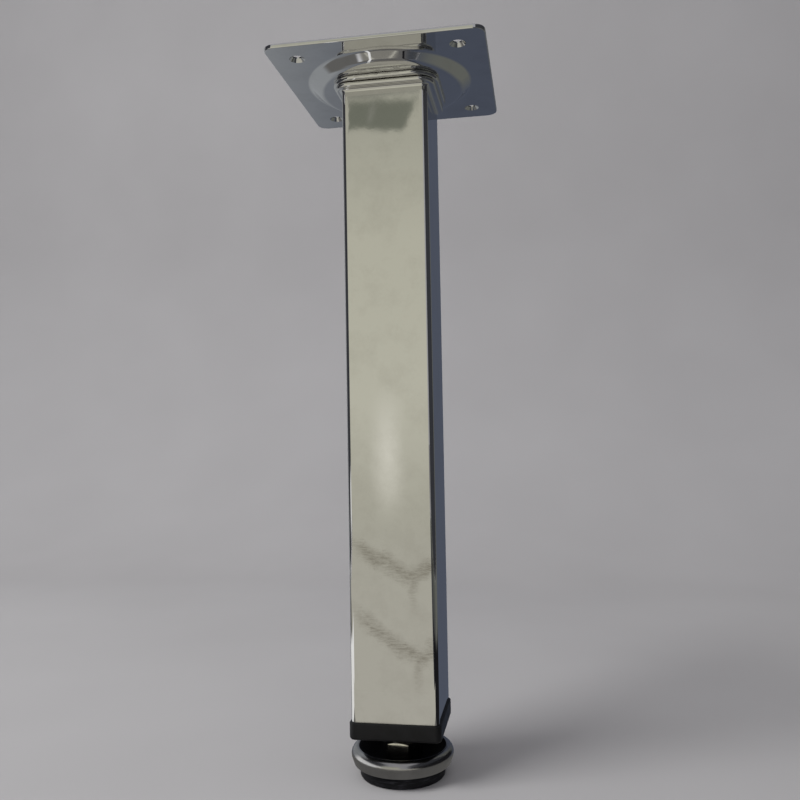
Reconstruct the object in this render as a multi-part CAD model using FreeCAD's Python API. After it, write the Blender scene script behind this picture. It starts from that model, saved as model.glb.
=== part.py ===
"""Height adjustable table leg: a chromed square tube with a stamped screw plate and a screw-in foot.

Millimetres. The origin is on the leg's axis, on the floor under the foot. +Z runs up the leg, and
-Y is the front face.
"""
import FreeCAD
import Part
import math
import os

V = FreeCAD.Vector

# Square tube
tube_side = 40.0
tube_wall = 1.5
tube_corner_r = 2.4
tube_length = 293.5          # from its lower end to the underside of the plate's boss
least_inner_corner_r = 0.3

# Folded beads on the tube under the plate, and the flared lip above it
lower_bead_reach = 3.2       # how far a bead stands out of the tube's faces
lower_bead_corner_r = 7.0
upper_bead_reach = 4.8
upper_bead_corner_r = 12.0
bead_height = 2.3
bead_round = 1.1
bead_root_r = 1.5            # fillet where the lower bead runs into the tube's faces
lip_reach = 3.6
lip_corner_r = 6.0
lip_round = 1.0

# Stamped screw plate
plate_side = 97.0
plate_thickness = 2.0
plate_corner_r = 5.0
plate_edge_round = 0.5
screw_inset = 12.5           # screw centres from the plate's edges
screw_hole_r = 2.25
countersink_r = 3.6
countersink_angle = 90.0
boss_land = 1.6              # flat of the boss outside the upper bead's corners
boss_depth = 4.0
boss_wall_angle = 38.0
boss_bend_r = 4.5            # radius of both bends at mid thickness
tube_hole_clearance = 0.1

# Plug in the lower end of the tube
plug_overhang = 0.9          # flange beyond the tube's faces
plug_flange_height = 7.6
plug_corner_r = 3.0
plug_edge_round = 1.2
plug_top_round = 0.4
spigot_length = 22.0
spigot_wall = 2.2
spigot_corner_r = 2.0
fin_reach = 1.1              # grip fins beyond the spigot's wall
fin_clearance = 0.05
fin_thickness = 1.3
fin_lead_in = 0.7
fin_count = 4
hub_r = 11.6
hub_drop = 4.0               # hub's top below the spigot's rim
web_thickness = 2.0
bolt_hole_clearance = 0.4

# M10 screw set
thread_r = 5.0
thread_clearance = 0.05
nut_across_flats = 17.0
nut_height = 8.0
nut_chamfer_angle = 30.0
nut_face_share = 0.95        # diameter of a nut's round face, as a share of its width across flats
nut_pocket_clearance = 0.05
nut_recess = 0.2             # plug nut below the plug's underside
nut_turn = -5.0              # degrees, the upper flat that faces the front
head_height = 5.0
bolt_length = 60.0           # under the head
bolt_tip_chamfer = 1.2

# Saucer with a rolled rim
cup_thickness = 1.2
cup_rim_r = 23.9             # widest radius
cup_roll_r = 2.7             # radius of the rim's roll at mid thickness
cup_roll_rise = 2.1          # centre of the roll above the saucer's floor at mid thickness
cup_slope = 35.0
cup_bend_r = 3.0
cup_skirt_lean = 18.0
cup_skirt_length = 3.4
swivel_clearance = 0.1       # bolt in the saucer's hole, and along its axis

# Pad under the saucer
pad_r = 19.8
pad_height = 7.3             # from the floor to the saucer's underside
pad_edge_round = 1.0
pad_flange_gap = 0.3         # pad's hidden flange to the rolled rim around it
pad_neck_gap = 0.4           # flange above the skirt's lower edge
pad_pocket_gap = 0.4

# Height of the foot as it stands: plug's underside above the cup nut
foot_gap = 4.75

edge_match = 1e-6            # how near an edge must lie to count as in its place

# Levels, from the floor up
cup_floor_low = pad_height
cup_floor_high = cup_floor_low + cup_thickness
cup_nut_low = cup_floor_high + swivel_clearance
cup_nut_high = cup_nut_low + nut_height
plug_low = cup_nut_high + foot_gap
tube_low = plug_low + plug_flange_height
boss_low = tube_low + tube_length
boss_high = boss_low + plate_thickness
plate_low = boss_low + boss_depth
plate_high = plate_low + plate_thickness
bolt_seat = cup_floor_low - swivel_clearance

tube_half = tube_side / 2
bore_half = tube_half - tube_wall
bore_corner_r = max(tube_corner_r - tube_wall, least_inner_corner_r)


def rounded_square(half, corner_r, low, high):
    """A square prism on the leg's axis with round corners."""
    flat = half - corner_r
    bulge = flat + corner_r * math.sqrt(0.5)
    edges = []
    for quarter in range(4):
        turn = FreeCAD.Rotation(V(0, 0, 1), 90 * quarter)
        side = [V(half, -flat, low), V(half, flat, low)]
        corner = [V(half, flat, low), V(bulge, bulge, low), V(flat, half, low)]
        edges.append(Part.LineSegment(*[turn.multVec(p) for p in side]).toShape())
        edges.append(Part.Arc(*[turn.multVec(p) for p in corner]).toShape())
    return Part.Face(Part.Wire(edges)).extrude(V(0, 0, high - low))


def cylinder(radius, low, high):
    return Part.makeCylinder(radius, high - low, V(0, 0, low))


def level_edges(shape, level):
    """The edges of a shape that lie at one height."""
    return [e for e in shape.Edges
            if abs(e.BoundBox.ZMin - level) < edge_match and abs(e.BoundBox.ZMax - level) < edge_match]


def edges_within(shape, level, half):
    """The edges at one height that lie inside a square on the leg's axis."""
    square = FreeCAD.BoundBox(-half, -half, level, half, half, level)
    square.enlarge(edge_match)
    return [e for e in level_edges(shape, level) if square.isInside(e.BoundBox)]


def revolved(face):
    return face.revolve(V(0, 0, 0), V(0, 0, 1), 360)


def sheet_section(start, moves, thickness, round_end=False):
    """Section of a pressed sheet, from the moves of its middle line in the XZ plane.

    The line sets out along +X. ("line", length) runs straight on, and ("turn", radius, degrees)
    bends, with positive degrees upwards.
    """
    x, z, heading = start[0], start[1], 0.0
    sides = {1: [], -1: []}

    def offset_point(px, pz, angle, side):
        shift = side * thickness / 2
        return V(px - shift * math.sin(angle), 0, pz + shift * math.cos(angle))

    for move in moves:
        first = {side: offset_point(x, z, heading, side) for side in sides}
        if move[0] == "line":
            x += move[1] * math.cos(heading)
            z += move[1] * math.sin(heading)
            for side in sides:
                last = offset_point(x, z, heading, side)
                sides[side].append(Part.LineSegment(first[side], last).toShape())
        else:
            bend = math.copysign(1, move[2])
            centre_x = x - bend * move[1] * math.sin(heading)
            centre_z = z + bend * move[1] * math.cos(heading)

            def on_arc(angle):
                return (centre_x + bend * move[1] * math.sin(angle),
                        centre_z - bend * move[1] * math.cos(angle))

            middle = heading + math.radians(move[2]) / 2
            heading += math.radians(move[2])
            x, z = on_arc(heading)
            for side in sides:
                halfway = offset_point(*on_arc(middle), middle, side)
                last = offset_point(x, z, heading, side)
                sides[side].append(Part.Arc(first[side], halfway, last).toShape())

    upper_end = offset_point(x, z, heading, 1)
    lower_end = offset_point(x, z, heading, -1)
    if round_end:
        nose = V(x + thickness / 2 * math.cos(heading), 0, z + thickness / 2 * math.sin(heading))
        end = Part.Arc(upper_end, nose, lower_end).toShape()
    else:
        end = Part.LineSegment(upper_end, lower_end).toShape()
    begin = Part.LineSegment(offset_point(start[0], start[1], 0, -1),
                             offset_point(start[0], start[1], 0, 1)).toShape()
    return Part.Face(Part.Wire(sides[1] + [end] + sides[-1][::-1] + [begin]))


def hexagon(across_flats, low, high, turn):
    """A hex prism with one flat towards the front, turned about the leg's axis."""
    corner = across_flats / math.sqrt(3)
    points = []
    for i in range(7):
        angle = math.radians(60 * i + turn)
        points.append(V(corner * math.cos(angle), corner * math.sin(angle), low))
    return Part.Face(Part.makePolygon(points)).extrude(V(0, 0, high - low))


def hex_blank(low, high, turn, round_low, round_high):
    """Hex prism of the screw set, with its corners turned off on the ends that show."""
    corner = nut_across_flats / math.sqrt(3)
    face_r = nut_face_share * nut_across_flats / 2
    drop = (corner - face_r) * math.tan(math.radians(nut_chamfer_angle))
    points = [V(0, 0, low)]
    points += [V(face_r, 0, low), V(corner, 0, low + drop)] if round_low else [V(corner, 0, low)]
    points += [V(corner, 0, high - drop), V(face_r, 0, high)] if round_high else [V(corner, 0, high)]
    points += [V(0, 0, high), V(0, 0, low)]
    return hexagon(nut_across_flats, low, high, turn).common(revolved(Part.Face(Part.makePolygon(points))))


def hex_nut(low, turn):
    high = low + nut_height
    return hex_blank(low, high, turn, True, True).cut(cylinder(thread_r + thread_clearance, low, high))


def folded_bead(reach, corner_r, low):
    """One fold of the tube's wall, pressed flat, with a rounded nose."""
    high = low + bead_height
    bead = rounded_square(tube_half + reach, corner_r, low, high)
    return bead.makeFillet(bead_round, level_edges(bead, low) + level_edges(bead, high))


def make_leg_tube():
    lower_bead_low = boss_low - 2 * bead_height
    lip_high = boss_high + tube_wall
    tube = rounded_square(tube_half, tube_corner_r, tube_low, boss_high)
    tube = tube.fuse(folded_bead(lower_bead_reach, lower_bead_corner_r, lower_bead_low))
    tube = tube.makeFillet(bead_root_r, edges_within(tube, lower_bead_low, tube_half))
    tube = tube.fuse(folded_bead(upper_bead_reach, upper_bead_corner_r, boss_low - bead_height))
    lip = rounded_square(tube_half + lip_reach, lip_corner_r, boss_high, lip_high)
    tube = tube.fuse(lip.makeFillet(lip_round, level_edges(lip, lip_high)))
    tube = tube.cut(rounded_square(bore_half, bore_corner_r, tube_low, lip_high)).removeSplitter()
    return tube.makeFillet(lip_round, edges_within(tube, lip_high, bore_half))


def make_mounting_plate():
    bead_half = tube_half + upper_bead_reach
    bead_corner = (bead_half - upper_bead_corner_r) * math.sqrt(2) + upper_bead_corner_r
    angle = math.radians(boss_wall_angle)
    bend_rise = 2 * boss_bend_r * (1 - math.cos(angle))
    wall_length = (boss_depth - bend_rise) / math.sin(angle)
    floor_r = bead_corner + boss_land
    root_r = floor_r + 2 * boss_bend_r * math.sin(angle) + wall_length * math.cos(angle)
    half_sheet = plate_thickness / 2
    boss = revolved(sheet_section((0, boss_low + half_sheet), [
        ("line", floor_r),
        ("turn", boss_bend_r, boss_wall_angle),
        ("line", wall_length),
        ("turn", boss_bend_r, -boss_wall_angle),
    ], plate_thickness))
    sheet = rounded_square(plate_side / 2, plate_corner_r, plate_low, plate_high)
    rims = level_edges(sheet, plate_low) + level_edges(sheet, plate_high)
    sheet = sheet.makeFillet(plate_edge_round, rims)
    plate = sheet.cut(cylinder(root_r, plate_low, plate_high)).fuse(boss)
    plate = plate.cut(rounded_square(tube_half + tube_hole_clearance, tube_corner_r + tube_hole_clearance,
                                     boss_low, boss_high))
    sink = (countersink_r - screw_hole_r) / math.tan(math.radians(countersink_angle / 2))
    screw_at = plate_side / 2 - screw_inset
    for x in (-screw_at, screw_at):
        for y in (-screw_at, screw_at):
            centre = V(x, y, plate_low)
            plate = plate.cut(Part.makeCylinder(screw_hole_r, plate_thickness, centre))
            plate = plate.cut(Part.makeCone(countersink_r, screw_hole_r, sink, centre))
    return plate.removeSplitter()


def make_end_plug():
    rim = tube_low + spigot_length
    flange = rounded_square(tube_half + plug_overhang, plug_corner_r, plug_low, tube_low)
    flange = flange.makeFillet(plug_edge_round, level_edges(flange, plug_low))
    flange = flange.makeFillet(plug_top_round, level_edges(flange, tube_low))
    fin_half = bore_half - fin_clearance
    wall_half = fin_half - fin_reach
    inner_half = wall_half - spigot_wall
    spigot = rounded_square(wall_half, spigot_corner_r, tube_low, rim)
    spigot = spigot.cut(rounded_square(inner_half, spigot_corner_r, tube_low, rim))
    fin_step = spigot_length / (fin_count + 1)
    for i in range(fin_count):
        low = tube_low + fin_step * (i + 1) - fin_thickness / 2
        fin = rounded_square(fin_half, bore_corner_r, low, low + fin_thickness)
        fin = fin.makeChamfer(fin_lead_in, level_edges(fin, low + fin_thickness))
        spigot = spigot.fuse(fin.cut(rounded_square(inner_half, spigot_corner_r, low, low + fin_thickness)))
    hub_high = rim - hub_drop
    hub = cylinder(hub_r, tube_low, hub_high)
    for half_x, half_y in ((inner_half, web_thickness / 2), (web_thickness / 2, inner_half)):
        corner = V(-half_x, -half_y, tube_low)
        hub = hub.fuse(Part.makeBox(2 * half_x, 2 * half_y, hub_high - tube_low, corner))
    plug = flange.fuse([spigot, hub]).removeSplitter()
    pocket_flats = nut_across_flats + 2 * nut_pocket_clearance
    pocket_high = plug_low + nut_recess + nut_height
    plug = plug.cut(hexagon(pocket_flats, plug_low, pocket_high, 0))
    return plug.cut(cylinder(thread_r + bolt_hole_clearance, plug_low, hub_high))


def make_foot_bolt():
    head = hex_blank(bolt_seat - head_height, bolt_seat, nut_turn, True, False)
    tip = bolt_seat + bolt_length
    shank = cylinder(thread_r, bolt_seat, tip)
    return head.fuse(shank.makeChamfer(bolt_tip_chamfer, level_edges(shank, tip))).removeSplitter()


def cup_roll_centre():
    """Centre of the saucer's rolled rim, as a radius and a height."""
    return cup_rim_r - cup_thickness / 2 - cup_roll_r, cup_floor_low + cup_thickness / 2 + cup_roll_rise


def make_foot_cup():
    roll_x, roll_z = cup_roll_centre()
    middle = cup_floor_low + cup_thickness / 2
    slope = math.radians(cup_slope)
    rise = roll_z + cup_roll_r * math.cos(slope) - middle - cup_bend_r * (1 - math.cos(slope))
    slope_length = rise / math.sin(slope)
    floor_r = roll_x - (cup_roll_r + cup_bend_r) * math.sin(slope) - slope_length * math.cos(slope)
    hole_r = thread_r + swivel_clearance
    return revolved(sheet_section((hole_r, middle), [
        ("line", floor_r - hole_r),
        ("turn", cup_bend_r, cup_slope),
        ("line", slope_length),
        ("turn", cup_roll_r, -(cup_slope + 90 + cup_skirt_lean)),
        ("line", cup_skirt_length),
    ], cup_thickness, round_end=True))


def make_foot_pad():
    roll_x, roll_z = cup_roll_centre()
    lean = math.radians(cup_skirt_lean)
    skirt_x = roll_x + cup_roll_r * math.cos(lean) - cup_skirt_length * math.sin(lean)
    skirt_z = roll_z - cup_roll_r * math.sin(lean) - cup_skirt_length * math.cos(lean)
    flange_r = skirt_x - cup_thickness / 2 / math.cos(lean) - pad_flange_gap
    pad = cylinder(pad_r, 0, pad_height)
    pad = pad.makeFillet(pad_edge_round, level_edges(pad, 0))
    pad = pad.fuse(cylinder(flange_r, skirt_z + pad_neck_gap, pad_height)).removeSplitter()
    pocket_r = nut_across_flats / math.sqrt(3) + pad_pocket_gap
    return pad.cut(cylinder(pocket_r, bolt_seat - head_height - swivel_clearance, pad_height))


pieces = {
    "mounting_plate": make_mounting_plate(),
    "leg_tube": make_leg_tube(),
    "end_plug": make_end_plug(),
    "plug_nut": hex_nut(plug_low + nut_recess, 0),
    "foot_bolt": make_foot_bolt(),
    "cup_nut": hex_nut(cup_nut_low, nut_turn),
    "foot_cup": make_foot_cup(),
    "foot_pad": make_foot_pad(),
}

os.makedirs("parts", exist_ok=True)
for name, shape in pieces.items():
    shape.exportStep("parts/" + name + ".step")
    print(name, len(shape.Solids), shape.isValid(), round(shape.Volume, 1), shape.BoundBox)
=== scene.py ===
"""Dressed model of the height adjustable table leg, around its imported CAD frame. Metres."""

import math

import bmesh
import bpy
from mathutils import Matrix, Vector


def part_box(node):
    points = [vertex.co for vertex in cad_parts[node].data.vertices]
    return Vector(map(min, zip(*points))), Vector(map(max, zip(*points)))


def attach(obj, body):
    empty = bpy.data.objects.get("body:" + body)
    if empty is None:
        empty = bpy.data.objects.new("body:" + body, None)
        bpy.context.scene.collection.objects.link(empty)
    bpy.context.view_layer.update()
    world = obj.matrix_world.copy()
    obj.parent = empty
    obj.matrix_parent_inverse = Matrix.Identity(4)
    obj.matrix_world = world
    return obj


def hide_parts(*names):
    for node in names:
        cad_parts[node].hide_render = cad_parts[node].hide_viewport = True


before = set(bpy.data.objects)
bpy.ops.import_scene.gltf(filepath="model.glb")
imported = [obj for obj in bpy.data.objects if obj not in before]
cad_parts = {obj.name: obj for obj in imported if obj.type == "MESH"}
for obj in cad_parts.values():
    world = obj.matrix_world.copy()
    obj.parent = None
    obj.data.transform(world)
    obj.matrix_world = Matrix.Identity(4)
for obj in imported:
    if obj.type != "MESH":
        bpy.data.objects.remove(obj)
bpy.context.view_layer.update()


# Leg tube: 40 mm square steel tube with a welded seam inside, polished and chrome plated. Its upper
# end is upset into two folds under the screw plate and rolled over above it, so that the plate is
# locked on for good. Dirt has run down its front face and dried.
mm = 0.001
tube_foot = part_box("leg_tube")[0].z
tube_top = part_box("leg_tube")[1].z
boss_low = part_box("mounting_plate")[0].z
sheet = 2.0 * mm
tube_half = 20.0 * mm
tube_corner = 2.4 * mm
bore_half = 18.5 * mm
bore_corner = 0.9 * mm
fold_height = 2.3 * mm
fold_gap = 0.1 * mm
fold_low = boss_low - 2 * fold_height
crease_low = boss_low - fold_height - fold_gap / 2
crease_high = crease_low + fold_gap
lower_fold_half = 23.2 * mm
lower_fold_corner = 7.0 * mm
crease_half = 21.6 * mm
crease_corner = 5.0 * mm
upper_fold_half = 24.8 * mm
upper_fold_corner = 12.0 * mm
lip_half = 23.6 * mm
lip_corner = 6.0 * mm
corner_steps = 12
side_steps = 24
least_side = 1.5             # shortest straight side, in steps of its corners' arcs
rounding_steps = 6
ripple = 0.16 * mm
ripple_margin = 0.2 * mm
ripple_smoothing = 0.4
ripple_seed = 7
seam_rise = 0.35 * mm
seam_half_width = 0.5 * mm
tube_sharp_angle = 40

tube_rings = {
    "cut_end": (tube_half, tube_corner, tube_foot),
    "fold_root": (tube_half, tube_corner, fold_low),
    "lower_fold_under": (lower_fold_half, lower_fold_corner, fold_low),
    "lower_fold_over": (lower_fold_half, lower_fold_corner, crease_low),
    "crease_under": (crease_half, crease_corner, crease_low),
    "crease_over": (crease_half, crease_corner, crease_high),
    "upper_fold_under": (upper_fold_half, upper_fold_corner, crease_high),
    "upper_fold_over": (upper_fold_half, upper_fold_corner, boss_low),
    "neck_under": (tube_half, tube_corner, boss_low),
    "neck_over": (tube_half, tube_corner, boss_low + sheet),
    "lip_under": (lip_half, lip_corner, boss_low + sheet),
    "lip_over": (lip_half, lip_corner, tube_top),
    "mouth": (bore_half, bore_corner, tube_top),
    "bore_end": (bore_half, bore_corner, tube_foot),
}
tube_roundings = {
    "cut_end": 0.2 * mm,
    "fold_root": 1.5 * mm,
    "lower_fold_under": 1.1 * mm,
    "lower_fold_over": 1.1 * mm,
    "upper_fold_under": 1.1 * mm,
    "upper_fold_over": 1.1 * mm,
    "lip_over": 1.0 * mm,
    "mouth": 1.0 * mm,
    "bore_end": 0.2 * mm,
}


def start_piece(name):
    """A new piece with an empty mesh, in edit mode."""
    bpy.ops.object.select_all(action="DESELECT")
    bpy.ops.mesh.primitive_plane_add()
    bpy.context.object.name = name
    bpy.ops.object.mode_set(mode="EDIT")
    bpy.ops.mesh.select_mode(type="VERT")
    bpy.ops.mesh.delete(type="VERT")
    return bpy.context.object


def keep_as(piece, group):
    """Keeps the selected vertices as a group of the piece."""
    piece.vertex_groups.active = piece.vertex_groups.new(name=group)
    bpy.ops.object.vertex_group_assign()


def pick_groups(piece, *groups):
    """Selects the groups' vertices, and no others."""
    bpy.ops.mesh.select_all(action="DESELECT")
    for group in groups:
        piece.vertex_groups.active = piece.vertex_groups[group]
        bpy.ops.object.vertex_group_select()


def pick_place(piece, wanted):
    """Selects the vertices whose place passes the test, and no others."""
    bpy.ops.mesh.select_all(action="DESELECT")
    shape = bmesh.from_edit_mesh(piece.data)
    for vertex in shape.verts:
        vertex.select = wanted(vertex.co)
    shape.select_flush(True)
    bmesh.update_edit_mesh(piece.data)


def square_ring(piece, group, half, corner, level):
    """Draws a square with round corners as a ring of edges, and keeps it as a group."""
    bpy.ops.mesh.primitive_plane_add(size=2 * half, location=(0, 0, level))
    bpy.ops.mesh.bevel(offset=corner, segments=corner_steps, affect="VERTICES")
    keep_as(piece, group)
    bpy.ops.mesh.select_mode(type="EDGE")
    shape = bmesh.from_edit_mesh(piece.data)
    arc_step = corner * math.pi / 2 / corner_steps
    for edge in shape.edges:
        edge.select = edge.select and edge.calc_length() > least_side * arc_step
    shape.select_flush_mode()
    bmesh.update_edit_mesh(piece.data)
    bpy.ops.mesh.subdivide(number_cuts=side_steps - 1)
    bpy.ops.mesh.select_mode(type="VERT")
    pick_groups(piece, group)
    bpy.ops.mesh.delete(type="ONLY_FACE")


def bridge_rings(piece, pairs, levels):
    """Bridges pairs of rings. Flat ledges come first, while both of their rings are still bare."""
    for first, second in sorted(pairs, key=lambda pair: levels[pair[0]] != levels[pair[1]]):
        pick_groups(piece, first, second)
        bpy.ops.mesh.bridge_edge_loops()


def face_outwards():
    """Turns all faces of the piece in edit mode outwards."""
    bpy.ops.mesh.select_all(action="SELECT")
    bpy.ops.mesh.normals_make_consistent(inside=False)


def apply_modifier(piece, kind, **settings):
    """Adds a modifier to the active piece and applies it."""
    bpy.ops.object.modifier_add(type=kind)
    modifier = piece.modifiers[-1]
    for name, value in settings.items():
        setattr(modifier, name, value)
    bpy.ops.object.modifier_apply(modifier=modifier.name)


def shade_by_angle(piece, degrees):
    """Smooth shading that breaks at sharp edges and leaves flat faces flat."""
    bpy.ops.object.shade_smooth_by_angle(angle=math.radians(degrees))
    apply_modifier(piece, "WEIGHTED_NORMAL", keep_sharp=True)


tube = start_piece("chromed_tube")
for ring, (half, corner, level) in tube_rings.items():
    square_ring(tube, ring, half, corner, level)
ring_order = list(tube_rings)
bridge_rings(tube, zip(ring_order, ring_order[1:] + ring_order[:1]),
             {ring: level for ring, (half, corner, level) in tube_rings.items()})
largest_rounding = max(tube_roundings.values())
for ring, radius in tube_roundings.items():
    pick_groups(tube, ring)
    bpy.ops.transform.edge_bevelweight(value=radius / largest_rounding)
face_outwards()
bpy.ops.object.vertex_group_remove(all=True)
bpy.ops.object.mode_set(mode="OBJECT")
apply_modifier(tube, "BEVEL", limit_method="WEIGHT", width=largest_rounding,
               segments=rounding_steps, use_clamp_overlap=False)
bpy.ops.object.mode_set(mode="EDIT")
pick_place(tube, lambda at: crease_high + ripple_margin < at.z < boss_low - ripple_margin
           and math.hypot(at.x, at.y) > crease_half)
bpy.ops.transform.vertex_random(offset=ripple, normal=1.0, seed=ripple_seed, wait_for_input=False)
bpy.ops.mesh.vertices_smooth(factor=ripple_smoothing)
pick_place(tube, lambda at: abs(at.x) < seam_half_width and abs(at.y - bore_half) < seam_half_width
           and at.z < tube_top - lip_corner)
bpy.ops.transform.translate(value=(0, -seam_rise, 0))
bpy.ops.object.mode_set(mode="OBJECT")
shade_by_angle(tube, tube_sharp_angle)

tube_tint = (0.68, 0.675, 0.66)
wave_height = 0.10 * mm
polish_height = 0.0025 * mm
clean_roughness = 0.035
dirty_roughness = 0.16
dirt_tone = (0.58, 0.56, 0.53)   # what dirt leaves of the plating's colour
smear_reach = 6.5 * mm
smear_length = 31.0 * mm
smear_fade = 9.0 * mm
smear_sag = 7.0
smear_tail_slope = 0.57
drip_half = 3.4 * mm
drip_length = 17.0 * mm
drip_waver = 0.4
speck_flatness = 5
tube_smears = [((9.8 * mm, 94.3 * mm), 0.35), ((11.3 * mm, 58.5 * mm), 0.50)]


def new_finish(name, **sockets):
    """A material with its shader's own sockets set. Returns it, its node tree and the shader."""
    finish = bpy.data.materials.new(name)
    finish.use_nodes = True
    shader = finish.node_tree.nodes["Principled BSDF"]
    for socket, value in sockets.items():
        shader.inputs[socket.replace("_", " ")].default_value = value
    return finish, finish.node_tree, shader


def add_node(tree, kind, sockets=None, **settings):
    """Adds a shader node. A socket's value is a number, a colour or another node's output."""
    node = tree.nodes.new("ShaderNode" + kind)
    for name, value in settings.items():
        setattr(node, name, value)
    for socket, value in (sockets or {}).items():
        if isinstance(value, bpy.types.NodeSocket):
            tree.links.new(value, node.inputs[socket])
        else:
            node.inputs[socket].default_value = value
    return node


def reckon(tree, kind, *values):
    """Arithmetic on numbers and other nodes' outputs."""
    return add_node(tree, "Math", dict(enumerate(values)), operation=kind).outputs["Value"]


def spread(tree, value, start=0.0, end=1.0, low=0.0, high=1.0, kind="LINEAR"):
    """Goes from low to high while the value goes from start to end, and stays there beyond."""
    return add_node(tree, "MapRange", {"Value": value, "From Min": start, "From Max": end,
                                       "To Min": low, "To Max": high},
                    interpolation_type=kind).outputs["Result"]


def noise(tree, place, **sockets):
    """Noise from 0 to 1, its scale in grains per metre."""
    return add_node(tree, "TexNoise", {"Vector": place, **sockets}).outputs["Fac"]


def tones(tree, share, stops):
    """A colour that goes through the stops, which are a share and a colour each."""
    ramp = add_node(tree, "ValToRGB", {"Fac": share})
    marks = ramp.color_ramp.elements
    marks.remove(marks[1])
    for index, (at, colour) in enumerate(stops):
        mark = marks.new(at) if index else marks[0]
        mark.position = at
        mark.color = (*colour, 1)
    return ramp.outputs["Color"]


def bump(tree, height, distance, strength=1.0, **sockets):
    """A normal that makes a pattern stand up by a distance."""
    return add_node(tree, "Bump", {"Height": height, "Distance": distance, "Strength": strength,
                                   **sockets}).outputs["Normal"]


def wire(tree, shader, **ends):
    """Links nodes' outputs to the shader's sockets."""
    for socket, end in ends.items():
        tree.links.new(end, shader.inputs[socket.replace("_", " ")])


def smear_mask(tree, place, low_point, slope):
    """Strongest along a run of dried dirt on the tube's front face, none beyond its edges.

    The run falls from the left, turns up again past its low point, and drips from there.
    """
    at = add_node(tree, "SeparateXYZ", {"Vector": place}).outputs
    aside = reckon(tree, "SUBTRACT", at["X"], low_point[0])
    above = reckon(tree, "SUBTRACT", at["Z"], low_point[1])
    sides = reckon(tree, "MAXIMUM", reckon(tree, "MULTIPLY", aside, -slope),
                   reckon(tree, "MULTIPLY", aside, smear_tail_slope))
    run = reckon(tree, "MULTIPLY_ADD", reckon(tree, "MULTIPLY", aside, aside), smear_sag, sides)
    ragged = noise(tree, place, Scale=130.0, Detail=5.0, Roughness=0.7)
    drift = spread(tree, ragged, low=-smear_reach, high=smear_reach)
    from_run = reckon(tree, "ADD", reckon(tree, "SUBTRACT", above, run), drift)
    band = spread(tree, reckon(tree, "ABSOLUTE", from_run), end=smear_reach, low=1.0, high=0.0,
                  kind="SMOOTHSTEP")
    from_drip = reckon(tree, "MULTIPLY_ADD", drift, drip_waver, aside)
    drip = spread(tree, reckon(tree, "ABSOLUTE", from_drip), end=drip_half, low=1.0, high=0.0,
                  kind="SMOOTHSTEP")
    fall = spread(tree, above, start=-drip_length, end=0.0)
    drip = reckon(tree, "MULTIPLY", drip, fall)
    drip_start = spread(tree, above, end=smear_reach, low=1.0, high=0.0)
    drip = reckon(tree, "MULTIPLY", drip, drip_start)
    fade_in = spread(tree, aside, start=-smear_length, end=smear_fade - smear_length)
    flat = add_node(tree, "Mapping", {"Vector": place, "Scale": (1, 1, speck_flatness)})
    specks = noise(tree, flat.outputs["Vector"], Scale=330.0, Detail=5.0, Roughness=0.65)
    grit = spread(tree, specks, start=0.40, end=0.65, low=0.36, high=0.95)
    front = spread(tree, at["Y"], start=-tube_half, end=tube_corner - tube_half, low=1.0, high=0.0)
    stain = reckon(tree, "MULTIPLY", reckon(tree, "MAXIMUM", band, drip), fade_in)
    return reckon(tree, "MULTIPLY", reckon(tree, "MULTIPLY", stain, front), grit)


def chrome_plating(name, tint, smears=()):
    """Mirror chrome on polished steel, with slow waves, fine polish marks and a thin film of dirt.

    A smear is its low point on the front face and the slope it falls at. It dulls and darkens the
    plating.
    """
    finish, tree, shader = new_finish(name, Metallic=1.0)
    place = add_node(tree, "TexCoord").outputs["Object"]
    film = noise(tree, place, Scale=70.0, Detail=5.0, Roughness=0.65)
    dirt = spread(tree, film, start=0.45, end=0.8, high=0.25)
    for low_point, slope in smears:
        dirt = reckon(tree, "ADD", dirt, smear_mask(tree, place, low_point, slope))
    dirty_tint = [fade * channel for fade, channel in zip(dirt_tone, tint)]
    waves = bump(tree, noise(tree, place, Scale=26.0, Detail=1.0), wave_height)
    polish = noise(tree, place, Scale=380.0, Detail=2.0)
    wire(tree, shader,
         Base_Color=tones(tree, dirt, [(0.0, tint), (1.0, dirty_tint)]),
         Roughness=spread(tree, dirt, low=clean_roughness, high=dirty_roughness),
         Normal=bump(tree, polish, polish_height, Normal=waves))
    return finish


tube.data.materials.append(chrome_plating("tube_chrome", tube_tint, tube_smears))
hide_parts("leg_tube")
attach(tube, "leg")


# Screw plate: 2 mm steel sheet, blanked square, punched and countersunk for four screws, with a
# round boss pressed towards the leg, and chrome plated. The tube's folds and rolled lip hold it by
# the square hole in its boss.
plate_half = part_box("mounting_plate")[1].x
plate_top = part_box("mounting_plate")[1].z
plate_middle = plate_top - sheet / 2
plate_corner = 5.0 * mm
plate_edge = 0.5 * mm
plate_edge_steps = 4
plate_sharp_angle = 32
plate_tint = (0.68, 0.68, 0.675)
tube_hole_room = 0.1 * mm
boss_middle = boss_low + sheet / 2
boss_flat_r = 31.7 * mm
boss_bend_r = 4.5 * mm
boss_wall_angle = math.radians(38)
boss_wall = ((plate_middle - boss_middle - 2 * boss_bend_r * (1 - math.cos(boss_wall_angle)))
             / math.sin(boss_wall_angle))
boss_out = (boss_flat_r + boss_bend_r * math.sin(boss_wall_angle)
            + boss_wall * math.cos(boss_wall_angle))
boss_rise = (boss_middle + boss_bend_r * (1 - math.cos(boss_wall_angle))
             + boss_wall * math.sin(boss_wall_angle))
bend_steps = 6
screw_at = 36.0 * mm
screw_hole_r = 2.25 * mm
countersink_r = 3.6 * mm
countersink_over = 0.4 * mm
drill_r = countersink_r + countersink_over
drill_depth = drill_r - screw_hole_r
drill_low = plate_middle - sheet / 2 - countersink_over
drill_reach = 2 * sheet
hole_steps = 48
touch = 1e-6                 # places nearer than this are the same
merge_reach = 0.002 * mm

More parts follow.
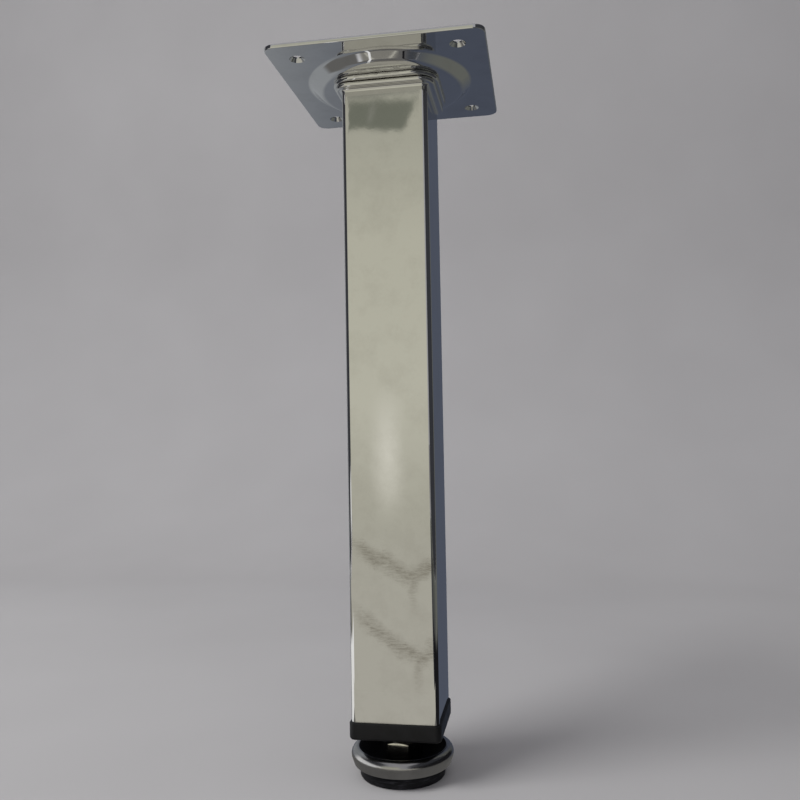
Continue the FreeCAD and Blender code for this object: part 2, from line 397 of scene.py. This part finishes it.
boss_rings = {"boss_flat": (boss_flat_r, boss_middle)}
for step in range(1, bend_steps + 1):
    turn = boss_wall_angle * step / bend_steps
    boss_rings[f"lower_bend_{step}"] = (boss_flat_r + boss_bend_r * math.sin(turn),
                                        boss_middle + boss_bend_r * (1 - math.cos(turn)))
for step in range(bend_steps, -1, -1):
    turn = boss_wall_angle * step / bend_steps
    boss_rings[f"upper_bend_{step}"] = (
        boss_out + boss_bend_r * (math.sin(boss_wall_angle) - math.sin(turn)),
        boss_rise + boss_bend_r * (math.cos(turn) - math.cos(boss_wall_angle)))


def round_ring(piece, group, radius, level):
    """Draws a circle with as many points as a square ring, and keeps it as a group."""
    bpy.ops.mesh.primitive_circle_add(vertices=4 * (corner_steps + side_steps), radius=radius,
                                      location=(0, 0, level))
    keep_as(piece, group)


def on_outline(at):
    """Whether a place is on one of the plate's sides or on the arc of one of its corners."""
    across, along = abs(at.x), abs(at.y)
    arc_at = plate_half - plate_corner
    on_side = max(across, along) > plate_half - touch
    on_arc = (min(across, along) > arc_at
              and math.hypot(across - arc_at, along - arc_at) > plate_corner - touch)
    return at.z > plate_middle - sheet and (on_side or on_arc)


def add_solid(primitive, **settings):
    """A new primitive as an object of its own, with its place in its mesh."""
    bpy.ops.object.select_all(action="DESELECT")
    primitive(**settings)
    bpy.ops.object.transform_apply()
    return bpy.context.object


def combine(piece, tool, operation):
    """Cuts the piece by a tool or joins them. The tool goes, and doubled points are merged."""
    bpy.ops.object.select_all(action="DESELECT")
    piece.select_set(True)
    bpy.context.view_layer.objects.active = piece
    apply_modifier(piece, "BOOLEAN", operation=operation, object=tool, solver="EXACT")
    bpy.data.objects.remove(tool)
    bpy.ops.object.mode_set(mode="EDIT")
    bpy.ops.mesh.select_all(action="SELECT")
    bpy.ops.mesh.remove_doubles(threshold=merge_reach)
    bpy.ops.mesh.dissolve_degenerate(threshold=merge_reach)
    bpy.ops.object.mode_set(mode="OBJECT")


plate = start_piece("screw_plate")
square_ring(plate, "tube_hole", tube_half + tube_hole_room, tube_corner + tube_hole_room,
            boss_middle)
for ring, (radius, level) in boss_rings.items():
    round_ring(plate, ring, radius, level)
square_ring(plate, "outline", plate_half, plate_corner, plate_middle)
ring_order = ["tube_hole", *boss_rings, "outline"]
plate_levels = {ring: level for ring, (radius, level) in boss_rings.items()}
plate_levels["tube_hole"] = boss_middle
plate_levels["outline"] = plate_levels["upper_bend_0"] = plate_middle
bridge_rings(plate, zip(ring_order, ring_order[1:]), plate_levels)
face_outwards()
bpy.ops.object.vertex_group_remove(all=True)
bpy.ops.object.mode_set(mode="OBJECT")
apply_modifier(plate, "SOLIDIFY", thickness=sheet, offset=0, use_even_offset=True)
bpy.ops.object.mode_set(mode="EDIT")
pick_place(plate, on_outline)
bpy.ops.mesh.select_mode(type="EDGE")
shape = bmesh.from_edit_mesh(plate.data)
for edge in shape.edges:
    edge.select = edge.select and abs(edge.verts[0].co.z - edge.verts[1].co.z) < touch
bmesh.update_edit_mesh(plate.data)
bpy.ops.mesh.bevel(offset=plate_edge, segments=plate_edge_steps, affect="EDGES")
bpy.ops.mesh.select_mode(type="VERT")
face_outwards()
bpy.ops.object.mode_set(mode="OBJECT")

drill = add_solid(bpy.ops.mesh.primitive_cone_add, vertices=hole_steps, radius1=drill_r,
                  radius2=screw_hole_r, depth=drill_depth,
                  location=(screw_at, screw_at, drill_low + drill_depth / 2))
bpy.ops.object.mode_set(mode="EDIT")
pick_place(drill, lambda at: at.z > drill_low + drill_depth / 2)
bpy.ops.mesh.extrude_region_move(TRANSFORM_OT_translate={"value": (0, 0, drill_reach)})
for mirror in ((-1, 1, 1), (1, -1, 1)):
    bpy.ops.mesh.select_all(action="SELECT")
    bpy.ops.mesh.duplicate()
    bpy.ops.transform.resize(value=mirror, center_override=(0, 0, 0))
face_outwards()
bpy.ops.object.mode_set(mode="OBJECT")
combine(plate, drill, "DIFFERENCE")
shade_by_angle(plate, plate_sharp_angle)

plate.data.materials.append(chrome_plating("plate_chrome", plate_tint))
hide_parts("mounting_plate")
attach(plate, "leg")


# End plug: black moulded plastic, pressed into the tube's lower end by its finned spigot. Only the
# flange shows, with a fine matt grain from its mould.
streak_flatness = 9
roughness_swing = 0.06


def moulded_black(name, shade, roughness, grain, sheen, scuffs_and_sheen=0.0):
    """Black moulding with a fine grain, an uneven sheen and pale streaks that run round it, partly
    scuffs and partly a painted sheen.
    """
    finish, tree, shader = new_finish(name, Specular_IOR_Level=sheen)
    place = add_node(tree, "TexCoord").outputs["Object"]
    mottle = noise(tree, place, Scale=180.0, Detail=5.0, Roughness=0.65)
    flat = add_node(tree, "Mapping", {"Vector": place, "Scale": (1, 1, streak_flatness)})
    streaks = noise(tree, flat.outputs["Vector"], Scale=150.0, Detail=6.0, Roughness=0.7)
    # Pale streaks round the moulding: partly scuffs, partly a painted sheen.
    worn_and_sheen = spread(tree, streaks, start=0.45, end=0.7, high=scuffs_and_sheen)
    deep, plain, pale = ([share * channel for channel in shade] for share in (0.7, 1.4, 5.0))
    grains = noise(tree, place, Scale=2600.0, Detail=2.0)
    wire(tree, shader,
         Base_Color=tones(tree, reckon(tree, "ADD", mottle, worn_and_sheen),
                          [(0.35, deep), (0.75, plain), (1.0, pale)]),
         Roughness=spread(tree, mottle, start=0.3, end=0.7, low=roughness - roughness_swing,
                          high=roughness + roughness_swing),
         Normal=bump(tree, grains, grain, strength=0.5))
    return finish


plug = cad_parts["end_plug"]
plug.data.materials.clear()
plug.data.materials.append(moulded_black("plug_plastic", shade=(0.007, 0.007, 0.008),
                                         roughness=0.42, grain=0.03 * mm, sheen=0.35))


# Plug nut: hex nut of zinc plated steel, held in a hex pocket in the plug's underside so that it
# can't turn. It takes the thread of the foot's bolt.
zinc_dull = (0.46, 0.46, 0.45)
zinc_bright = (0.64, 0.63, 0.60)
scratch_height = 0.02 * mm


def zinc_plating(name):
    """Bright zinc on machined steel, a little cloudy, with fine scratches."""
    finish, tree, shader = new_finish(name, Metallic=1.0)
    place = add_node(tree, "TexCoord").outputs["Object"]
    cloud = noise(tree, place, Scale=240.0, Detail=4.0)
    scratches = noise(tree, place, Scale=1500.0, Detail=2.0)
    wire(tree, shader,
         Base_Color=tones(tree, cloud, [(0.3, zinc_dull), (0.7, zinc_bright)]),
         Roughness=spread(tree, cloud, start=0.3, end=0.7, low=0.22, high=0.14),
         Normal=bump(tree, scratches, scratch_height, strength=0.3))
    return finish


zinc = zinc_plating("zinc_plating")
plug_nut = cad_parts["plug_nut"]
plug_nut.data.materials.clear()
plug_nut.data.materials.append(zinc)


# Saucer: steel pressed into a shallow cup whose rim is rolled outwards and down over the pad. Satin
# nickel outside, with fine turning lines from its polishing. Inside it is painted black: painted
# shade and a painted reflection of the black plug above it. It sits between the pad and the foot's
# nut.
saucer_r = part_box("foot_cup")[1].x
saucer_sheet = 1.2 * mm
saucer_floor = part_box("foot_pad")[1].z + saucer_sheet / 2
saucer_hole_r = 5.1 * mm
saucer_roll_r = 2.7 * mm
saucer_roll_rise = 2.1 * mm
saucer_slope = math.radians(35)
saucer_bend_r = 3.0 * mm
saucer_skirt = 3.4 * mm
saucer_skirt_lean = math.radians(18)
saucer_inside_r = 20.5 * mm
saucer_edge = 0.45 * mm
saucer_edge_steps = 4
saucer_edge_angle = math.radians(50)
saucer_sharp_angle = 35
roll_at = saucer_r - saucer_sheet / 2 - saucer_roll_r
slope_rise = (saucer_roll_rise + saucer_roll_r * math.cos(saucer_slope)
              - saucer_bend_r * (1 - math.cos(saucer_slope)))
slope_length = slope_rise / math.sin(saucer_slope)
saucer_floor_r = (roll_at - (saucer_roll_r + saucer_bend_r) * math.sin(saucer_slope)
                  - slope_length * math.cos(saucer_slope))
bend_step = math.radians(8)
least_bend_steps = 2
spin_steps = 160
nickel_dull = (0.40, 0.395, 0.39)
nickel_bright = (0.48, 0.475, 0.47)
turning_height = 0.012 * mm


def start_line(x, z):
    """Adds a single selected vertex to the piece in edit mode, to draw a line out of."""
    bpy.ops.mesh.primitive_plane_add(size=mm, location=(x, 0, z))
    bpy.ops.mesh.merge(type="CENTER")


def draw_and_spin(start_r, level, moves):
    """Draws a sheet's middle line in the XZ plane and spins it round the leg's axis.

    A vertex is drawn out by ("flat", length) and swung round by ("bend", radius, angle), upwards if
    the angle is positive.
    """
    start_line(start_r, level)
    x, z, heading = start_r, level, 0.0
    for move in moves:
        if move[0] == "flat":
            step = (move[1] * math.cos(heading), 0, move[1] * math.sin(heading))
            bpy.ops.mesh.extrude_vertices_move(TRANSFORM_OT_translate={"value": step})
            x, z = x + step[0], z + step[2]
        else:
            reach = math.copysign(move[1], move[2])
            centre = (x - reach * math.sin(heading), 0, z + reach * math.cos(heading))
            steps = max(least_bend_steps, round(abs(move[2]) / bend_step))
            bpy.ops.mesh.spin(steps=steps, angle=move[2], center=centre, axis=(0, 1, 0))
            heading += move[2]
            x, z = centre[0] + reach * math.sin(heading), centre[2] - reach * math.cos(heading)
    bpy.ops.mesh.select_all(action="SELECT")
    bpy.ops.mesh.spin(steps=spin_steps, angle=2 * math.pi, center=(0, 0, 0), axis=(0, 0, 1))
    bpy.ops.mesh.select_all(action="SELECT")
    bpy.ops.mesh.remove_doubles(threshold=touch)
    face_outwards()


saucer = start_piece("saucer")
draw_and_spin(saucer_hole_r, saucer_floor, [
    ("flat", saucer_floor_r - saucer_hole_r),
    ("bend", saucer_bend_r, saucer_slope),
    ("flat", slope_length),
    ("bend", saucer_roll_r, -(saucer_slope + math.pi / 2 + saucer_skirt_lean)),
    ("flat", saucer_skirt),
])
bpy.ops.object.mode_set(mode="OBJECT")
apply_modifier(saucer, "SOLIDIFY", thickness=saucer_sheet, offset=0, use_even_offset=True)
apply_modifier(saucer, "BEVEL", limit_method="ANGLE", angle_limit=saucer_edge_angle,
               width=saucer_edge, segments=saucer_edge_steps)
shade_by_angle(saucer, saucer_sharp_angle)


def satin_nickel(name):
    """Satin nickel with turning lines round the axis and a soft, slightly clouded sheen."""
    finish, tree, shader = new_finish(name, Metallic=1.0)
    place = add_node(tree, "TexCoord").outputs["Object"]
    cloud = noise(tree, place, Scale=120.0, Detail=4.0)
    at = add_node(tree, "SeparateXYZ", {"Vector": place}).outputs
    flat = add_node(tree, "CombineXYZ", {"X": at["X"], "Y": at["Y"]}).outputs["Vector"]
    radius = add_node(tree, "VectorMath", {0: flat}, operation="LENGTH").outputs["Value"]
    round_axis = add_node(tree, "CombineXYZ", {"X": radius, "Y": at["Z"]}).outputs["Vector"]
    lines = noise(tree, round_axis, Scale=5200.0, Detail=3.0)
    wire(tree, shader,
         Base_Color=tones(tree, cloud, [(0.3, nickel_dull), (0.7, nickel_bright)]),
         Roughness=spread(tree, cloud, start=0.3, end=0.7, low=0.26, high=0.18),
         Normal=bump(tree, lines, turning_height, strength=0.35))
    return finish


saucer.data.materials.append(satin_nickel("satin_nickel"))
# Painted shade: the inside is coloured black for the shade under the plug and the plug's dark
# reflection.
saucer.data.materials.append(moulded_black("saucer_inside_painted_shade", shade=(0.004, 0.004, 0.005),
                                           roughness=0.7, grain=0.01 * mm, sheen=0.02))
bpy.ops.object.mode_set(mode="EDIT")
pick_place(saucer, lambda at: math.hypot(at.x, at.y) < saucer_inside_r)
saucer.active_material_index = 1
bpy.ops.object.material_slot_assign()
bpy.ops.object.mode_set(mode="OBJECT")
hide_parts("foot_cup")
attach(saucer, "foot_base")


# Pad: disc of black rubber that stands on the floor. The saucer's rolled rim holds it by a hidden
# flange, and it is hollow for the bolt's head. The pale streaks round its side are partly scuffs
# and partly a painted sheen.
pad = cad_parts["foot_pad"]
pad.data.materials.clear()
pad.data.materials.append(moulded_black("pad_rubber", shade=(0.006, 0.006, 0.007), roughness=0.6,
                                        grain=0.05 * mm, sheen=0.2, scuffs_and_sheen=0.8))


# Foot bolt: M10 hex bolt of zinc plated steel, head down inside the pad, with a rolled thread that
# screws into the plug's nut.
bolt_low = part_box("foot_bolt")[0].z
bolt_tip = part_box("foot_bolt")[1].z
bolt_seat_room = 0.1 * mm
bolt_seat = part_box("foot_pad")[1].z - bolt_seat_room
bolt_sharp_angle = 28
thread_r = 5.0 * mm
thread_pitch = 1.5 * mm
thread_depth = 0.92 * mm
thread_crest = thread_pitch / 8
thread_root = thread_pitch / 6
thread_flank = (thread_pitch - thread_crest - thread_root) / 2
thread_steps = 48
lead_turns = 2               # drawn beyond each end and cut off
thread_lead = lead_turns * thread_pitch
thread_turns = math.ceil((bolt_tip - bolt_seat) / thread_pitch) + 2 * lead_turns
thread_into_head = 0.5 * mm
tip_chamfer = 1.2 * mm
blank_room = 0.2 * mm
blank_r = thread_r + blank_room
blank_steps = 96
head_flats = 17.0 * mm
head_turn = math.radians(-5)
cut_match = 1e-7


def cut_level(level, keep_above):
    """Cuts the piece in edit mode level and closes the cut."""
    bpy.ops.mesh.select_all(action="SELECT")
    bpy.ops.mesh.bisect(plane_co=(0, 0, level), plane_no=(0, 0, 1), use_fill=True,
                        threshold=cut_match, clear_inner=keep_above, clear_outer=not keep_above)


bolt = start_piece("threaded_bolt")
start_line(thread_r - thread_depth, bolt_seat - thread_lead)
for out, up in ((thread_depth, thread_flank), (0, thread_crest),
                (-thread_depth, thread_flank), (0, thread_root)):
    bpy.ops.mesh.extrude_vertices_move(TRANSFORM_OT_translate={"value": (out, 0, up)})
bpy.ops.object.mode_set(mode="OBJECT")
apply_modifier(bolt, "SCREW", axis="Z", angle=2 * math.pi, screw_offset=thread_pitch,
               iterations=thread_turns, steps=thread_steps, render_steps=thread_steps,
               use_normal_calculate=True)
bpy.ops.object.mode_set(mode="EDIT")
bpy.ops.mesh.select_all(action="SELECT")
bpy.ops.mesh.remove_doubles(threshold=touch)
cut_level(bolt_seat - thread_into_head, keep_above=True)
cut_level(bolt_tip, keep_above=False)
face_outwards()
bpy.ops.object.mode_set(mode="OBJECT")

blank = add_solid(bpy.ops.mesh.primitive_cylinder_add, vertices=blank_steps, radius=blank_r,
                  depth=bolt_tip - bolt_low, location=(0, 0, (bolt_tip + bolt_low) / 2))
bpy.ops.object.mode_set(mode="EDIT")
pick_place(blank, lambda at: at.z > bolt_tip - cut_match)
bpy.ops.mesh.bevel(offset=tip_chamfer, segments=1, affect="EDGES")
bpy.ops.object.mode_set(mode="OBJECT")
combine(bolt, blank, "INTERSECT")

head = add_solid(bpy.ops.mesh.primitive_cylinder_add, vertices=6, radius=head_flats / math.sqrt(3),
                 depth=bolt_seat - bolt_low, location=(0, 0, (bolt_seat + bolt_low) / 2),
                 rotation=(0, 0, math.radians(90) + head_turn))
combine(bolt, head, "UNION")
shade_by_angle(bolt, bolt_sharp_angle)
bolt.data.materials.clear()
bolt.data.materials.append(zinc)
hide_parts("foot_bolt")
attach(bolt, "foot_screw")


# Cup nut: hex nut of zinc plated steel, locked on the bolt just above the saucer. A spanner on it
# turns the bolt and sets the leg's height.
cup_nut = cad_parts["cup_nut"]
cup_nut.data.materials.clear()
cup_nut.data.materials.append(zinc)


# Studio: a pale paper sweep that goes with the foot, so that it is the floor at any height, a soft
# key from the left, and glowing cards that only the metal's reflections see. The cards are painted
# reflections: the light ones paint the lit room, a lamp and a glint on the foot's nut; the dark
# ones paint the room's dark parts and the shade round the leg and the foot.
floor_reach = 6.0
sweep_at = 0.95
sweep_r = 0.5
sweep_height = 4.0
sweep_steps = 24
paper_dark = (0.50, 0.49, 0.49)
paper_light = (0.56, 0.55, 0.55)

paper = add_solid(bpy.ops.mesh.primitive_plane_add, size=2 * floor_reach,
                  location=(0, sweep_at - floor_reach, 0))
paper.name = "paper_sweep"
bpy.ops.object.mode_set(mode="EDIT")
bpy.ops.mesh.select_mode(type="VERT")
pick_place(paper, lambda at: at.y > sweep_at - touch)
bpy.ops.mesh.extrude_region_move(TRANSFORM_OT_translate={"value": (0, 0, sweep_height)})
pick_place(paper, lambda at: at.y > sweep_at - touch and at.z < touch)
bpy.ops.mesh.bevel(offset=sweep_r, segments=sweep_steps, affect="EDGES")
bpy.ops.object.mode_set(mode="OBJECT")
bpy.ops.object.shade_smooth()
paper_finish, paper_tree, paper_shader = new_finish("paper", Roughness=0.9, Specular_IOR_Level=0.1)
paper_place = add_node(paper_tree, "TexCoord").outputs["Object"]
paper_fibre = noise(paper_tree, paper_place, Scale=6.0, Detail=2.0)
wire(paper_tree, paper_shader,
     Base_Color=tones(paper_tree, paper_fibre, [(0.0, paper_dark), (1.0, paper_light)]))
paper.data.materials.append(paper_finish)
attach(paper, "foot_base")

upright = (90, 0, 0)
facing_right = (90, 0, 90)
facing_left = (90, 0, -90)
lying = (0, 0, 0)
white = (1.0, 1.0, 1.0)
cream = (0.53, 0.52, 0.44)
cream_floor = (0.53, 0.515, 0.455)
floor_shade_grey = (0.15, 0.147, 0.142)
moss = (0.15, 0.155, 0.14)
olive = (0.13, 0.135, 0.12)
haze = (0.32, 0.335, 0.35)
slate = (0.08, 0.092, 0.125)
dark = (0.045, 0.047, 0.055)
black = (0.012, 0.012, 0.014)
rear_shades = [(0.487, haze), (0.648, slate), (0.736, slate), (0.853, moss)]
wall_shades = [(0.31, cream), (0.46, (0.65, 0.64, 0.54)), (0.70, (0.61, 0.60, 0.50)),
               (0.85, (0.50, 0.495, 0.415))]


def card(name, centre, size, turn, shades, along="X", soft=(0.01, 0.01), ragged=0.0):
    """A glowing card that shows in reflections and nowhere else.

    Its shades are one colour, or a list of colours at shares of its length along one of its axes.
    It fades out towards its edges over the soft shares of its size, torn by the ragged share.
    """
    bpy.ops.object.select_all(action="DESELECT")
    bpy.ops.mesh.primitive_plane_add(size=1, location=centre,
                                     rotation=[math.radians(angle) for angle in turn])
    panel = bpy.context.object
    panel.name = name
    panel.scale = (*size, 1)
    glow = bpy.data.materials.new(name)
    glow.use_nodes = True
    tree = glow.node_tree
    tree.nodes.remove(tree.nodes["Principled BSDF"])
    place = add_node(tree, "TexCoord").outputs["Object"]
    if ragged:
        torn = add_node(tree, "TexNoise", {"Vector": place, "Scale": 6.0, "Detail": 4.0})
        drift = add_node(tree, "VectorMath", {0: torn.outputs["Color"], 1: (0.5, 0.5, 0.5)},
                         operation="SUBTRACT").outputs["Vector"]
        place = add_node(tree, "VectorMath", {0: drift, 1: (ragged, ragged, ragged), 2: place},
                         operation="MULTIPLY_ADD").outputs["Vector"]
    run = add_node(tree, "SeparateXYZ", {"Vector": place}).outputs[along]
    stops = shades if isinstance(shades, list) else [(0.0, shades)]
    colour = tones(tree, spread(tree, run, start=-0.5, end=0.5), stops)
    light = add_node(tree, "Emission", {"Color": colour}).outputs["Emission"]
    out = add_node(tree, "VectorMath", {0: place}, operation="ABSOLUTE").outputs["Vector"]
    sides = add_node(tree, "SeparateXYZ", {"Vector": out}).outputs
    fades = [spread(tree, sides[axis], start=0.5, end=0.5 - share, kind="SMOOTHSTEP")
             for axis, share in zip("XY", soft)]
    seen = reckon(tree, "MULTIPLY", *fades)
    clear = add_node(tree, "BsdfTransparent").outputs["BSDF"]
    light = add_node(tree, "MixShader", {0: seen, 1: clear, 2: light}).outputs["Shader"]
    tree.links.new(light, tree.nodes["Material Output"].inputs["Surface"])
    panel.data.materials.append(glow)
    panel.visible_camera = False
    panel.visible_diffuse = False
    panel.visible_shadow = False
    return panel


card("front_wall", (-0.6, -1.1, 0.25), (1.26, 1.3), upright, wall_shades, along="Y")
card("front_floor", (-0.22, -0.59, 0.0045), (0.56, 1.06), lying,
     [(0.0, cream), (1.0, cream_floor)], along="Y")
card("front_band", (-0.185, -1.0, 0.740), (0.17, 0.034), upright, (0.31, 0.31, 0.265),
     soft=(0.1, 0.2))
card("front_shade", (-0.186, -0.999, 0.694), (0.145, 0.066), (90, 3, 0), (0.20, 0.21, 0.17),
     soft=(0.12, 0.22), ragged=0.35)
card("front_gap", (-0.116, -0.998, 0.677), (0.06, 0.075), (90, 26, 0), (0.51, 0.505, 0.42),
     soft=(0.15, 0.15), ragged=0.2)
card("front_streak", (-0.2005, -0.998, 0.6995), (0.016, 0.06), (90, 19, 0), (0.27, 0.275, 0.235),
     soft=(0.5, 0.4), ragged=0.5)
card("front_lamp", (-0.187, -1.0, 0.12), (0.07, 0.26), upright, (0.82, 0.805, 0.71),
     soft=(0.5, 0.5))
# Painted shade: these grey cards stand for the floor's shade round the foot in the metal's
# reflections.
card("foot_floor_shade", (-0.16, -0.0375, 0.005), (0.56, 0.135), lying, floor_shade_grey, soft=(0.1, 0.2))
card("foot_apron", (-0.10, -0.105, 0.0052), (0.30, 0.07), lying, (0.26, 0.25, 0.225),
     soft=(0.1, 0.15))
card("front_sill", (-0.04, -0.088, 0.012), (0.24, 0.02), upright, cream_floor)
nut_glint = card("nut_glint", (-0.0009, -0.011, 0.0149), (0.0125, 0.00095), (90, 0, -5),
                 (0.9, 0.86, 0.70), soft=(0.1, 0.2))
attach(nut_glint, "foot_base")
card("left_floor_shade", (-0.37, 0.06, 0.0055), (0.5, 0.28), lying, floor_shade_grey, soft=(0.3, 0.35))
# Painted shade: the dark side cards stand for the room's dark parts and the shade beside the leg.
card("left_shade_wall", (-0.6, -0.325, 0.6), (0.95, 1.2), facing_right, dark)
card("left_strip", (-0.598, -0.6, 0.06), (0.6, 0.12), facing_right, white, soft=(0.3, 0.3))
card("left_card", (-0.085, -0.06, 0.02), (0.18, 0.07), facing_right, white, soft=(0.15, 0.15))
card("left_patch", (-0.15, -0.065, 0.006), (0.05, 0.06), lying, (0.75, 0.75, 0.77),
     soft=(0.5, 0.5))
card("right_shade_wall", (0.5, -0.38, 0.6), (1.64, 1.2), facing_left, dark)
card("right_floor", (0.28, -0.56, 0.004), (0.44, 1.06), lying, [(0.0, dark), (1.0, olive)])
card("right_glow", (0.34, 0.12, 0.006), (0.46, 0.62), lying, moss, soft=(0.4, 0.4))
card("right_card", (0.075, -0.02, 0.02), (0.26, 0.07), facing_left, black, soft=(0.15, 0.15))
card("rear_floor", (-0.25, 0.185, 0.004), (1.5, 0.55), lying, rear_shades)
card("rear_wall", (-0.25, 0.44, 0.39), (1.5, 0.82), upright, rear_shades)

ambient_tint = (0.95, 0.95, 1.0)
ambient_strength = 0.45
world = bpy.data.worlds.new("studio")
bpy.context.scene.world = world
world.use_nodes = True
ambient = world.node_tree.nodes["Background"].inputs
ambient["Color"].default_value = (*ambient_tint, 1)
ambient["Strength"].default_value = ambient_strength

key_at = (-0.8, -0.6, 1.3)
key_watts = 13
key_size = 0.7
bpy.ops.object.light_add(type="AREA", location=key_at)
key = bpy.context.object
key.data.energy = key_watts
key.data.size = key_size
key.visible_camera = False
key.visible_glossy = False
key.rotation_euler = (-key.location).to_track_quat("-Z", "Y").to_euler()

camera_at = (0.06803, -0.38430, 0.15919)
camera_turn = math.radians(9.797)
camera_pitch = math.radians(90 + 2.211)
camera_roll = math.radians(-1.034)
camera_lens = 36.92
camera_sensor = 36.0
camera_clip = 0.01
bpy.ops.object.camera_add(location=camera_at)
camera = bpy.context.object
camera.rotation_euler = (Matrix.Rotation(camera_turn, 3, "Z")
                         @ Matrix.Rotation(camera_pitch, 3, "X")
                         @ Matrix.Rotation(camera_roll, 3, "Z")).to_euler()
camera.data.lens = camera_lens
camera.data.sensor_width = camera_sensor
camera.data.clip_start = camera_clip
bpy.context.scene.camera = camera
bpy.context.scene.view_settings.view_transform = "Standard"
